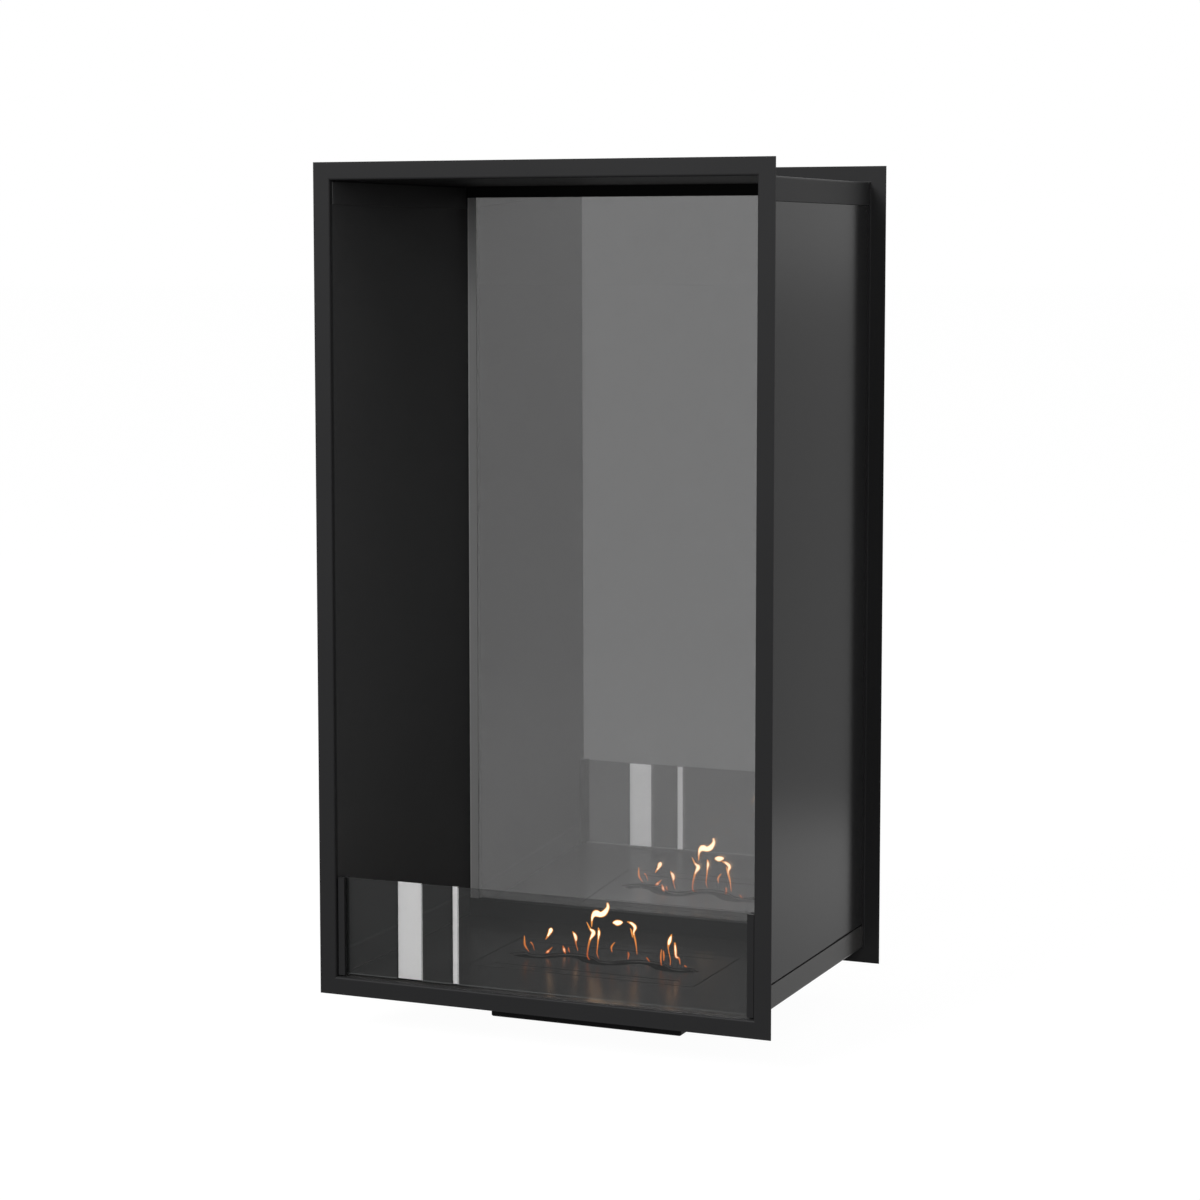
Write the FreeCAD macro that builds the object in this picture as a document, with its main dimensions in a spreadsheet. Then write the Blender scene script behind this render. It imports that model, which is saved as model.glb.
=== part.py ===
import FreeCAD, Part
import math
import os
import Sketcher
from FreeCAD import Vector

# Double-sided fireplace insert: a sheet-steel box with a flange frame at each face, a low
# loose glass in front, a tall grey glass at the rear and a drop-in burner with a wavy slot.
# Millimetres. X runs across, Y from front to rear, Z up. The origin is the middle of the
# bounding box's lower face, which is the underside of the burner tank.

SIZES = {
    # frames and box
    "frame_width": 637.0,
    "frame_height": 1100.0,
    "overall_depth": 447.0,
    "flange_width": 22.0,
    "gauge": 1.5,
    "bend_radius": 3.0,
    "leg_depth": 7.5,
    "tank_hang": 50.0,
    "floor_skirt": 32.0,
    "top_skirt": 31.0,
    "floor_groove": 3.3,
    "top_seam": 0.6,
    "lip_notch_gap": 1.0,
    "lip_clearance": 2.0,
    "joggle_low_shift": 0.7,
    "joggle_high_shift": 1.2,
    # sleeve that carries the removable rear frame
    "sleeve_overlap": 13.0,
    "sleeve_gap": 0.3,
    "collar_depth": 3.0,
    # screws
    "screw_shank": 4.0,
    "screw_head": 8.0,
    "screw_head_height": 2.4,
    "hole_clearance": 0.3,
    "sink_shank": 3.0,
    "sink_head": 5.4,
    "sink_depth": 1.2,
    # low front glass and its holders
    "low_glass_height": 129.9,
    "low_glass_thickness": 4.0,
    "low_glass_set_back": 12.0,
    "low_glass_edge_gap": 1.5,
    "rest_pad_height": 3.1,
    "rest_pad_length": 5.0,
    "holder_width": 9.0,
    "holder_height": 132.0,
    "holder_front_leg": 6.0,
    "holder_rear_leg": 3.0,
    "holder_web": 2.0,
    "slot_side_gap": 1.0,
    "holder_screw_height": 16.0,
    "wide_band_width": 35.7,
    "wide_band_share": 0.6636,
    "narrow_band_width": 8.5,
    "narrow_band_share": 0.4343,
    "band_thickness": 0.4,
    # tall rear glass and its rails
    "rear_glass_thickness": 5.0,
    "rear_glass_set_in": 26.0,
    "rear_glass_side_gap": 0.8,
    "bottom_rail_height": 24.5,
    "top_rail_height": 15.5,
    "rail_end_gap": 0.5,
    "seal_thickness": 2.5,
    "bottom_seal_height": 16.0,
    "top_seal_height": 8.0,
    "setting_block_height": 4.0,
    "setting_block_length": 50.0,
    "rear_glass_top_gap": 5.0,
    # burner
    "plate_length": 324.0,
    "plate_depth": 180.0,
    "plate_gap": 2.0,
    "ledge_border": 13.0,
    "ledge_gap": 1.2,
    "tank_end_margin": 23.5,
    "tank_side_margin": 17.5,
    "rim_side": 16.0,
    "rim_front": 10.0,
    "shutter_space": 1.8,
    "shutter_thickness": 1.5,
    "shutter_front_cover": 5.0,
    "shutter_back_cover": 8.0,
    "shutter_overlap": 7.0,
    "shutter_travel_margin": 6.0,
    "shutter_side_gap": 0.5,
    "shutter_stop_gap": 0.3,
    "stop_length": 5.0,
    "stop_reach": 4.5,
    "tool_hole": 6.0,
    "stud_diameter": 4.0,
    "stud_pitch": 100.0,
    "stud_length": 8.0,
    "nut_across": 7.0,
    "nut_height": 3.2,
    "wave_end_margin": 61.5,
    "wave_amplitude": 13.0,
    "wave_width": 24.0,
    "slit_end_margin": 27.0,
    "slit_width": 3.5,
    "slit_side_margin": 23.0,
    "wick_gap": 2.5,
    "wick_height": 40.0,
    "wick_edge_radius": 3.0,
    "grid_thickness": 1.0,
    "grid_hole": 9.0,
    "grid_border": 8.0,
}

# Positions worked out from the sizes above, in the part's frame.
PLACES = {
    "frame_half": "frame_width / 2",
    "front_face": "-overall_depth / 2",
    "rear_face": "overall_depth / 2",
    "front_back": "front_face + gauge",
    "rear_back": "rear_face - gauge",
    "box_front": "front_face + leg_depth",
    "box_rear": "rear_face - leg_depth",
    "frame_low": "tank_hang",
    "frame_high": "tank_hang + frame_height",
    "box_half": "frame_half - flange_width",
    "wall_half": "box_half - gauge",
    "lip_half": "wall_half - gauge",
    "box_low": "frame_low + flange_width",
    "box_high": "frame_high - flange_width",
    "floor_level": "box_low + gauge",
    "ceiling_level": "box_high - gauge",
    "floor_skirt_end": "box_low + floor_skirt",
    "top_skirt_end": "box_high - top_skirt",
    "panel_low": "floor_skirt_end + floor_groove",
    "panel_high": "top_skirt_end - top_seam",
    "lip_low": "floor_level + lip_clearance",
    "lip_high": "ceiling_level - lip_clearance",
    "joggle_low_out": "floor_skirt_end + joggle_low_shift",
    "joggle_low_in": "panel_low + joggle_low_shift",
    "joggle_high_out": "top_skirt_end - joggle_high_shift",
    "joggle_high_in": "panel_high - joggle_high_shift",
    # sleeve of the rear frame
    "sleeve_start": "box_rear - sleeve_overlap",
    "sleeve_end": "box_rear + collar_depth",
    "sleeve_out": "wall_half - sleeve_gap",
    "sleeve_in": "sleeve_out - gauge",
    "sleeve_low": "floor_level + sleeve_gap",
    "sleeve_low_in": "sleeve_low + gauge",
    "sleeve_high": "ceiling_level - sleeve_gap",
    "sleeve_high_in": "sleeve_high - gauge",
    "sleeve_screw_line": "(sleeve_start + box_rear) / 2",
    # low glass
    "low_glass_front": "front_face + low_glass_set_back",
    "low_glass_rear": "low_glass_front + low_glass_thickness",
    "slot_front": "low_glass_front - slot_side_gap",
    "slot_rear": "low_glass_rear + slot_side_gap",
    "holder_front": "slot_front - holder_front_leg",
    "holder_rear": "slot_rear + holder_rear_leg",
    "holder_in": "lip_half - holder_width",
    "slot_bottom": "lip_half - holder_web",
    "holder_high": "lip_low + holder_height",
    "low_glass_half": "slot_bottom - low_glass_edge_gap",
    "low_glass_low": "floor_level + rest_pad_height",
    "low_glass_high": "low_glass_low + low_glass_height",
    "slot_middle": "(slot_front + slot_rear) / 2",
    "pad_out": "slot_bottom - 0.5",
    "pad_in": "pad_out - rest_pad_length",
    "pad_front": "slot_front + 0.3",
    "pad_rear": "slot_rear - 0.3",
    "band_rear": "low_glass_rear + band_thickness",
    "wide_band_a": "-wide_band_share * low_glass_half - wide_band_width / 2",
    "wide_band_b": "-wide_band_share * low_glass_half + wide_band_width / 2",
    "narrow_band_a": "-narrow_band_share * low_glass_half - narrow_band_width / 2",
    "narrow_band_b": "-narrow_band_share * low_glass_half + narrow_band_width / 2",
    "holder_screw_line": "lip_low + holder_screw_height",
    # tall glass
    "rear_glass_rear": "rear_face - rear_glass_set_in",
    "rear_glass_front": "rear_glass_rear - rear_glass_thickness",
    "rear_glass_half": "wall_half - rear_glass_side_gap",
    "rail_half": "lip_half - rail_end_gap",
    "rail_screw_pitch": "rail_half * 4 / 3",
    "sleeve_screw_pitch": "rail_half",
    "setting_block_offset": "rear_glass_half / 2",
    "seal_front": "rear_glass_front - seal_thickness",
    "seal_rear": "rear_glass_rear + seal_thickness",
    "rail_front": "seal_front - gauge",
    "rail_rear": "seal_rear + gauge",
    "lip_rear": "rail_front - lip_notch_gap",
    "rail_middle": "(rail_front + rail_rear) / 2",
    "bottom_rail_high": "floor_level + bottom_rail_height",
    "bottom_web_high": "floor_level + gauge",
    "top_rail_low": "ceiling_level - top_rail_height",
    "top_web_low": "ceiling_level - gauge",
    "rear_glass_low": "bottom_web_high + setting_block_height",
    "rear_glass_high": "top_web_low - rear_glass_top_gap",
    "bottom_seal_low": "bottom_rail_high - bottom_seal_height",
    "top_seal_high": "top_rail_low + top_seal_height",
    # burner
    "plate_half": "plate_length / 2",
    "plate_back": "plate_depth / 2",
    "opening_half": "plate_half + plate_gap",
    "opening_back": "plate_back + plate_gap",
    "ledge_half": "plate_half + ledge_border",
    "ledge_back": "plate_back + ledge_border",
    "ledge_low": "box_low - gauge",
    "tank_half": "plate_half - tank_end_margin",
    "tank_back": "plate_back - tank_side_margin",
    "bowl_half": "tank_half - gauge",
    "bowl_back": "tank_back - gauge",
    "rim_half": "tank_half + rim_side",
    "rim_back": "tank_back + rim_front",
    "rim_high": "box_low - shutter_space",
    "rim_low": "rim_high - gauge",
    "ledge_in_half": "rim_half + ledge_gap",
    "ledge_in_back": "rim_back + ledge_gap",
    "wave_half_pitch": "(plate_length - wave_end_margin) / 5",
    "wave_reach": "wave_amplitude + wave_width / 2",
    "shutter_travel": "wave_width + shutter_travel_margin",
    "shutter_front": "wave_reach + shutter_travel + shutter_front_cover",
    "shutter_back": "wave_reach + shutter_back_cover",
    "shutter_half": "tank_half + shutter_overlap",
    "shutter_high": "rim_high + shutter_thickness",
    "guide_half": "shutter_half + shutter_side_gap",
    "stop_half": "guide_half - stop_reach",
    "stop_front": "-shutter_front - shutter_stop_gap",
    "stop_rear": "shutter_back + shutter_travel + shutter_stop_gap",
    "stop_front_end": "stop_front - stop_length",
    "stop_rear_end": "stop_rear + stop_length",
    "stud_line": "(guide_half + rim_half) / 2",
    "stud_low": "box_low - stud_length",
    "nut_low": "rim_low - nut_height",
    "slit_half": "plate_half - slit_end_margin",
    "slit_offset": "plate_back - slit_side_margin",
    "slit_near": "slit_offset - slit_width / 2",
    "slit_far": "slit_offset + slit_width / 2",
    "tool_hole_line": "-wave_amplitude - shutter_travel",
    "wick_half": "bowl_half - wick_gap",
    "wick_back": "bowl_back - wick_gap",
    "wick_high": "gauge + wick_height",
    "grid_high": "wick_high + grid_thickness",
    "grid_step_x": "(2 * wick_half - grid_border) / 9",
    "grid_step_y": "(2 * wick_back - grid_border) / 4",
}

doc = FreeCAD.newDocument("fireplace")
sheet = doc.addObject("Spreadsheet::Sheet", "sizes")
row = 0
for alias, value in SIZES.items():
    row += 1
    sheet.set("A%d" % row, alias)
    sheet.set("B%d" % row, str(value))
    sheet.setAlias("B%d" % row, alias)
for alias, formula in PLACES.items():
    row += 1
    sheet.set("A%d" % row, alias)
    sheet.set("B%d" % row, "=" + formula)
    sheet.setAlias("B%d" % row, alias)
doc.recompute()


def number(term):
    """Value of an alias, or of a minus sign and an alias."""
    if term.startswith("-"):
        return -float(sheet.get(term[1:]))
    return float(sheet.get(term))


def bound(term):
    """Expression for an alias, or for a minus sign and an alias."""
    if term.startswith("-"):
        return "-sizes." + term[1:]
    return "sizes." + term


def box(name, x0, x1, y0, y1, z0, z1):
    """Block between pairs of named positions."""
    block = doc.addObject("Part::Box", name)
    for side, low, high in (("Length", x0, x1), ("Width", y0, y1), ("Height", z0, z1)):
        block.setExpression(side, "%s - (%s)" % (bound(high), bound(low)))
    for axis, low in (("x", x0), ("y", y0), ("z", z0)):
        block.setExpression("Placement.Base." + axis, bound(low))
    return block


def cylinder(name, diameter, x, y, z0, z1, spare=None):
    """Upright round bar; x and y are expressions, spare widens its radius."""
    bar = doc.addObject("Part::Cylinder", name)
    radius = "sizes.%s / 2" % diameter
    if spare:
        radius += " + sizes." + spare
    bar.setExpression("Radius", radius)
    bar.setExpression("Height", "%s - (%s)" % (z1, z0))
    bar.setExpression("Placement.Base.x", x)
    bar.setExpression("Placement.Base.y", y)
    bar.setExpression("Placement.Base.z", z0)
    return bar


def fuse(name, pieces):
    joined = doc.addObject("Part::MultiFuse", name)
    joined.Shapes = pieces
    joined.Refine = True
    return joined


def cut(name, base, tools):
    """Base without the tools."""
    result = doc.addObject("Part::Cut", name)
    result.Base = base
    result.Tool = tools[0] if len(tools) == 1 else group(name + "_tools", tools)
    return result


def group(name, pieces):
    bundle = doc.addObject("Part::Compound", name)
    bundle.Links = pieces
    return bundle


def mirror(name, source):
    """Copy of a piece on the other side of the middle plane."""
    copy = doc.addObject("Part::Mirroring", name)
    copy.Source = source
    copy.Normal = Vector(1, 0, 0)
    return copy


def new_sketch(body, name, role, offset=None):
    """Sketch on one of the body's own origin planes, moved along that plane's normal."""
    drawing = body.newObject("Sketcher::SketchObject", name)
    support = [f for f in body.Origin.OriginFeatures if f.Role == role][0]
    drawing.AttachmentSupport = [(support, "")]
    drawing.MapMode = "FlatFace"
    if offset:
        drawing.setExpression("AttachmentOffset.Base.z", offset)
    return drawing


def polygon(drawing, points):
    """Closed outline whose corners are tied to named positions."""
    first = drawing.GeometryCount
    spots = [Vector(number(x), number(y), 0) for x, y in points]
    for i, spot in enumerate(spots):
        drawing.addGeometry(Part.LineSegment(spot, spots[(i + 1) % len(spots)]), False)
    for i in range(len(points)):
        after = first + (i + 1) % len(points)
        drawing.addConstraint(Sketcher.Constraint("Coincident", first + i, 2, after, 1))
    for i, point in enumerate(points):
        for kind, term in zip(("DistanceX", "DistanceY"), point):
            made = Sketcher.Constraint(kind, -1, 1, first + i, 1, number(term))
            drawing.setExpression("Constraints[%d]" % drawing.addConstraint(made), bound(term))


def rectangle(drawing, x0, x1, y0, y1):
    polygon(drawing, [(x0, y0), (x1, y0), (x1, y1), (x0, y1)])


def pad(body, name, drawing, length, reverse=False):
    solid = body.newObject("PartDesign::Pad", name)
    solid.Profile = drawing
    solid.setExpression("Length", length)
    solid.Reversed = reverse
    doc.recompute()
    return solid


def pocket(body, name, drawing, reverse=False):
    """Cut right through along one direction."""
    hole = body.newObject("PartDesign::Pocket", name)
    hole.Profile = drawing
    hole.Type = "ThroughAll"
    hole.Reversed = reverse
    doc.recompute()
    return hole


def fillet(body, name, base, radius, wanted):
    """Round the edges whose middle point passes a test."""
    picked = []
    for i, edge in enumerate(base.Shape.Edges):
        middle = edge.valueAt((edge.FirstParameter + edge.LastParameter) / 2)
        if wanted(middle, edge):
            picked.append("Edge%d" % (i + 1))
    rounded = body.newObject("PartDesign::Fillet", name)
    rounded.Base = (base, picked)
    rounded.setExpression("Radius", radius)
    doc.recompute()
    return rounded


def near(a, b):
    return abs(a - b) < 0.01


def on_ring(point, half, low, high):
    """Whether a point lies on the upright rectangle with these edges."""
    return near(abs(point.x), number(half)) or near(point.z, number(low)) or near(point.z, number(high))


def frame(name, face, back, leg_end, rear):
    """Flange ring with a return leg that butts against the box."""
    body = doc.addObject("PartDesign::Body", name)
    start = "sizes.overall_depth / 2"
    if rear:
        start = "-" + start
    flange = new_sketch(body, name + "_flange_outline", "XZ_Plane", start)
    rectangle(flange, "-frame_half", "frame_half", "frame_low", "frame_high")
    rectangle(flange, "-wall_half", "wall_half", "floor_level", "ceiling_level")
    pad(body, name + "_flange", flange, "sizes.gauge", not rear)
    leg = new_sketch(body, name + "_leg_outline", "XZ_Plane", start)
    rectangle(leg, "-box_half", "box_half", "box_low", "box_high")
    rectangle(leg, "-wall_half", "wall_half", "floor_level", "ceiling_level")
    last = pad(body, name + "_leg", leg, "sizes.leg_depth", not rear)
    if rear:
        collar = new_sketch(body, name + "_collar_outline", "XZ_Plane", "-sizes.box_rear")
        rectangle(collar, "-box_half", "box_half", "box_low", "box_high")
        rectangle(collar, "-sleeve_in", "sleeve_in", "sleeve_low_in", "sleeve_high_in")
        last = pad(body, name + "_collar", collar, "sizes.collar_depth", True)
        sleeve = new_sketch(body, name + "_sleeve_outline", "XZ_Plane", "-sizes.sleeve_start")
        rectangle(sleeve, "-sleeve_out", "sleeve_out", "sleeve_low", "sleeve_high")
        rectangle(sleeve, "-sleeve_in", "sleeve_in", "sleeve_low_in", "sleeve_high_in")
        last = pad(body, name + "_sleeve", sleeve, "sizes.sleeve_overlap + sizes.collar_depth", True)
    rounded = fillet(body, name + "_bend", last, "sizes.bend_radius", lambda p, e: (
        near(p.y, number(face)) and on_ring(p, "wall_half", "floor_level", "ceiling_level")))
    rounded = fillet(body, name + "_bend_inside", rounded, "sizes.bend_radius - sizes.gauge", lambda p, e: (
        near(p.y, number(back)) and on_ring(p, "box_half", "box_low", "box_high")))
    body.Tip = rounded
    return body


def along_y(edge):
    return abs(edge.tangentAt(edge.FirstParameter).y) > 0.999


def pan(name, bottom):
    """Sheet across the box with a skirt bent along each side."""
    outer, inner, end = ("box_low", "floor_level", "floor_skirt_end")
    if not bottom:
        outer, inner, end = ("box_high", "ceiling_level", "top_skirt_end")
    body = doc.addObject("PartDesign::Body", name)
    section = new_sketch(body, name + "_section", "XZ_Plane", "-sizes.box_front")
    polygon(section, [
        ("-box_half", outer), ("box_half", outer), ("box_half", end), ("wall_half", end),
        ("wall_half", inner), ("-wall_half", inner), ("-wall_half", end), ("-box_half", end)])
    last = pad(body, name + "_sheet", section, "sizes.box_rear - sizes.box_front", True)
    last = fillet(body, name + "_bends", last, "sizes.bend_radius", lambda p, e: (
        along_y(e) and near(p.z, number(outer))))
    last = fillet(body, name + "_bends_inside", last, "sizes.bend_radius - sizes.gauge", lambda p, e: (
        along_y(e) and near(p.z, number(inner)) and near(abs(p.x), number("wall_half"))))
    body.Tip = last
    return body


def spread(pitch, count):
    """Expressions for positions either side of the middle, one pitch apart."""
    return ["%g * sizes.%s" % (i - (count - 1) / 2, pitch) for i in range(count)]


def drills(name, xs, y, z0, z1):
    """Clearance holes for a row of screws."""
    return [cylinder("%s_%d" % (name, i), "screw_shank", x, y, z0, z1, "hole_clearance")
            for i, x in enumerate(xs)]


def hexagon(name, across, x, y, low, tall):
    """Upright six-sided prism, flats to the left and right."""
    prism = doc.addObject("Part::Prism", name)
    prism.Polygon = 6
    prism.setExpression("Circumradius", "sizes.%s / sqrt(3)" % across)
    prism.setExpression("Height", "sizes." + tall)
    prism.Placement.Rotation = FreeCAD.Rotation(Vector(0, 0, 1), 30)
    prism.setExpression("Placement.Base.x", x)
    prism.setExpression("Placement.Base.y", y)
    prism.setExpression("Placement.Base.z", low)
    return prism


def screws(name, xs, y, seat, tip, upright):
    """Row of hexagon-head screws; upright ones have the head on top."""
    made = []
    for i, x in enumerate(xs):
        label = "%s_%d" % (name, i)
        if upright:
            shank = cylinder(label + "_shank", "screw_shank", x, y, tip, seat)
            low = seat
        else:
            shank = cylinder(label + "_shank", "screw_shank", x, y, seat, tip)
            low = seat + " - sizes.screw_head_height"
        head = hexagon(label + "_head", "screw_head", x, y, low, "screw_head_height")
        made.append(fuse(label, [shank, head]))
    return made


def wave_prism(low, high):
    """Band of constant width along a row of tangent arcs that swing to and fro."""
    reach = number("wave_half_pitch") / 2
    rise = number("wave_amplitude")
    width = number("wave_width")
    radius = (reach * reach + rise * rise) / (2 * rise)
    turn = math.asin(reach / radius)
    pieces = []
    for i in range(-2, 3):
        side = -1 if i % 2 == 0 else 1
        centre = Vector(2 * reach * i, side * (rise - radius), low)

        def spot(angle, r):
            return centre + Vector(r * math.sin(angle), side * r * math.cos(angle), 0)

        near_r = radius - width / 2
        far_r = radius + width / 2
        outer = Part.Arc(spot(-turn, far_r), spot(0, far_r), spot(turn, far_r)).toShape()
        inner = Part.Arc(spot(turn, near_r), spot(0, near_r), spot(-turn, near_r)).toShape()
        ends = [Part.makeLine(spot(turn, far_r), spot(turn, near_r)),
                Part.makeLine(spot(-turn, near_r), spot(-turn, far_r))]
        face = Part.Face(Part.Wire([outer, ends[0], inner, ends[1]]))
        pieces.append(face.extrude(Vector(0, 0, high - low)))
    return pieces[0].multiFuse(pieces[1:]).removeSplitter()


# Frames
front_frame = frame("front_frame", "front_face", "front_back", "box_front", False)
rear_frame_ring = frame("rear_frame_ring", "rear_face", "rear_back", "box_rear", True)

# Screw holes of the sleeve, in the floor and in the ceiling
sleeve_xs = spread("sleeve_screw_pitch", 2)
sleeve_line = "sizes.sleeve_screw_line"
sleeve_drills_low = drills(
    "sleeve_drill_low", sleeve_xs, sleeve_line, "sizes.box_low - 5", "sizes.sleeve_low_in + 5")
sleeve_drills_high = drills(
    "sleeve_drill_high", sleeve_xs, sleeve_line, "sizes.sleeve_high_in - 5", "sizes.box_high + 5")
rear_frame = cut("rear_frame", rear_frame_ring, [
    group("sleeve_drills", sleeve_drills_low + sleeve_drills_high)])
rear_frame_screws = group("rear_frame_screws", (
    screws("sleeve_screw_low", sleeve_xs, sleeve_line, "sizes.sleeve_low_in", "sizes.box_low", True)
    + screws("sleeve_screw_high", sleeve_xs, sleeve_line, "sizes.sleeve_high_in", "sizes.box_high", False)))

# Floor and ceiling
rail_xs = spread("rail_screw_pitch", 2)
rail_line = "sizes.rail_middle"
rail_drills_low = drills(
    "rail_drill_low", rail_xs, rail_line, "sizes.box_low - 5", "sizes.bottom_web_high + 1")
rail_drills_high = drills(
    "rail_drill_high", rail_xs, rail_line, "sizes.top_web_low - 1", "sizes.box_high + 5")
burner_opening = box("burner_opening", "-opening_half", "opening_half", "-opening_back", "opening_back",
                     "ledge_low", "panel_low")
floor_pan = cut("floor_pan", pan("floor_sheet", True), [
    burner_opening, group("floor_drills", rail_drills_low + sleeve_drills_low)])
top_pan = cut("top_pan", pan("top_sheet", False), [
    group("ceiling_drills", rail_drills_high + sleeve_drills_high)])

# Side sheets, with lips set in behind the skirts and cut back at the rear for the tall glass and the sleeve
panel_body = doc.addObject("PartDesign::Body", "panel_sheet")
panel_section = new_sketch(panel_body, "panel_section", "XZ_Plane", "-sizes.box_front")
polygon(panel_section, [
    ("wall_half", "lip_low"), ("wall_half", "floor_skirt_end"), ("box_half", "panel_low"),
    ("box_half", "panel_high"), ("wall_half", "top_skirt_end"), ("wall_half", "lip_high"),
    ("lip_half", "lip_high"), ("lip_half", "joggle_high_out"), ("wall_half", "joggle_high_in"),
    ("wall_half", "joggle_low_in"), ("lip_half", "joggle_low_out"), ("lip_half", "lip_low")])
panel_body.Tip = pad(panel_body, "panel_pad", panel_section, "sizes.box_rear - sizes.box_front", True)
lip_notch_low = box("lip_notch_low", "holder_in", "wall_half", "lip_rear", "rear_face",
                    "box_low", "joggle_low_in")
lip_notch_high = box("lip_notch_high", "holder_in", "wall_half", "lip_rear", "rear_face",
                     "joggle_high_in", "box_high")

# Countersunk screw that holds an upright holder to the lip, and its hole


def sunk_screw(name, spare):
    """Screw across the holder's web and the lip, widened by a clearance for its hole."""
    shank = doc.addObject("Part::Cylinder", name + "_shank")
    shank.setExpression("Radius", "sizes.sink_shank / 2 + " + spare)
    shank.setExpression("Height", "sizes.wall_half - sizes.slot_bottom")
    head = doc.addObject("Part::Cone", name + "_head")
    head.setExpression("Radius1", "sizes.sink_head / 2 + " + spare)
    head.setExpression("Radius2", "sizes.sink_shank / 2 + " + spare)
    head.setExpression("Height", "sizes.sink_depth")
    for piece in (shank, head):
        piece.Placement.Rotation = FreeCAD.Rotation(Vector(0, 1, 0), 90)
        piece.setExpression("Placement.Base.x", "sizes.slot_bottom")
        piece.setExpression("Placement.Base.y", "sizes.slot_middle")
        piece.setExpression("Placement.Base.z", "sizes.holder_screw_line")
    return fuse(name, [shank, head])


sink_drill = sunk_screw("sink_drill", "sizes.hole_clearance")
holder_screw_right = sunk_screw("holder_screw_right", "0")
side_panel_right = cut("side_panel_right", panel_body, [lip_notch_low, lip_notch_high, sink_drill])
side_panel_left = mirror("side_panel_left", side_panel_right)
holder_screw_left = mirror("holder_screw_left", holder_screw_right)
holder_screws = group("holder_screws", [holder_screw_right, holder_screw_left])

# Upright holders with a groove for the low glass
holder_body = doc.addObject("PartDesign::Body", "holder_bar")
holder_section = new_sketch(holder_body, "holder_section", "XY_Plane", "sizes.lip_low")
polygon(holder_section, [
    ("lip_half", "holder_front"), ("lip_half", "holder_rear"), ("holder_in", "holder_rear"),
    ("holder_in", "slot_rear"), ("slot_bottom", "slot_rear"), ("slot_bottom", "slot_front"),
    ("holder_in", "slot_front"), ("holder_in", "holder_front")])
holder_body.Tip = pad(holder_body, "holder_pad", holder_section, "sizes.holder_height")
glass_holder_right = cut("glass_holder_right", holder_body, [sink_drill])
glass_holder_left = mirror("glass_holder_left", glass_holder_right)
rest_pad = box("rest_pad_right", "pad_in", "pad_out", "pad_front", "pad_rear",
               "floor_level", "low_glass_low")
glass_rest_pads = group("glass_rest_pads", [rest_pad, mirror("rest_pad_left", rest_pad)])

# Low glass and its two plain bands
front_glass = box("front_glass", "-low_glass_half", "low_glass_half", "low_glass_front", "low_glass_rear",
                  "low_glass_low", "low_glass_high")
glass_band_wide = box("glass_band_wide", "wide_band_a", "wide_band_b", "low_glass_rear", "band_rear",
                      "low_glass_low", "low_glass_high")
glass_band_narrow = box("glass_band_narrow", "narrow_band_a", "narrow_band_b",
                        "low_glass_rear", "band_rear", "low_glass_low", "low_glass_high")

# Tall glass between its rails
rear_glass = box("rear_glass", "-rear_glass_half", "rear_glass_half", "rear_glass_front", "rear_glass_rear",
                 "rear_glass_low", "rear_glass_high")


def rail(name, web_out, web_in, edge):
    """Channel with its open side towards the glass."""
    body = doc.addObject("PartDesign::Body", name)
    section = new_sketch(body, name + "_section", "YZ_Plane", "-sizes.rail_half")
    polygon(section, [
        ("rail_front", web_out), ("rail_rear", web_out), ("rail_rear", edge), ("seal_rear", edge),
        ("seal_rear", web_in), ("seal_front", web_in), ("seal_front", edge), ("rail_front", edge)])
    body.Tip = pad(body, name + "_pad", section, "2 * sizes.rail_half")
    return body


rear_glass_bottom_rail = cut("rear_glass_bottom_rail",
                             rail("bottom_channel", "floor_level", "bottom_web_high", "bottom_rail_high"),
                             [group("bottom_channel_drills", rail_drills_low)])
rear_glass_top_rail = cut("rear_glass_top_rail",
                          rail("top_channel", "ceiling_level", "top_web_low", "top_rail_low"),
                          [group("top_channel_drills", rail_drills_high)])
bottom_rail_seals = group("bottom_rail_seals", [
    box("bottom_seal_front", "-rear_glass_half", "rear_glass_half", "seal_front", "rear_glass_front",
        "bottom_seal_low", "bottom_rail_high"),
    box("bottom_seal_rear", "-rear_glass_half", "rear_glass_half", "rear_glass_rear", "seal_rear",
        "bottom_seal_low", "bottom_rail_high")])
top_rail_seals = group("top_rail_seals", [
    box("top_seal_front", "-rear_glass_half", "rear_glass_half", "seal_front", "rear_glass_front",
        "top_rail_low", "top_seal_high"),
    box("top_seal_rear", "-rear_glass_half", "rear_glass_half", "rear_glass_rear", "seal_rear",
        "top_rail_low", "top_seal_high")])
blocks = []
for i, side in enumerate(("-", "")):
    block = box("setting_block_%d" % i, "setting_block_offset", "setting_block_offset", "rear_glass_front",
                "rear_glass_rear", "bottom_web_high", "rear_glass_low")
    block.setExpression("Length", "sizes.setting_block_length")
    block.setExpression("Placement.Base.x",
                        "%ssizes.setting_block_offset - sizes.setting_block_length / 2" % side)
    blocks.append(block)
setting_blocks = group("setting_blocks", blocks)
bottom_rail_screws = group("bottom_rail_screws", screws(
    "bottom_rail_screw", rail_xs, rail_line, "sizes.box_low", "sizes.bottom_web_high", False))
top_rail_screws = group("top_rail_screws", screws(
    "top_rail_screw", rail_xs, rail_line, "sizes.box_high", "sizes.top_web_low", True))

# Ledge under the floor that the burner plate lies on
burner_ledge = cut("burner_ledge", box(
    "ledge_sheet", "-ledge_half", "ledge_half", "-ledge_back", "ledge_back", "ledge_low", "box_low"), [
    box("ledge_opening", "-ledge_in_half", "ledge_in_half", "-ledge_in_back", "ledge_in_back",
        "nut_low", "floor_level")])

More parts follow.
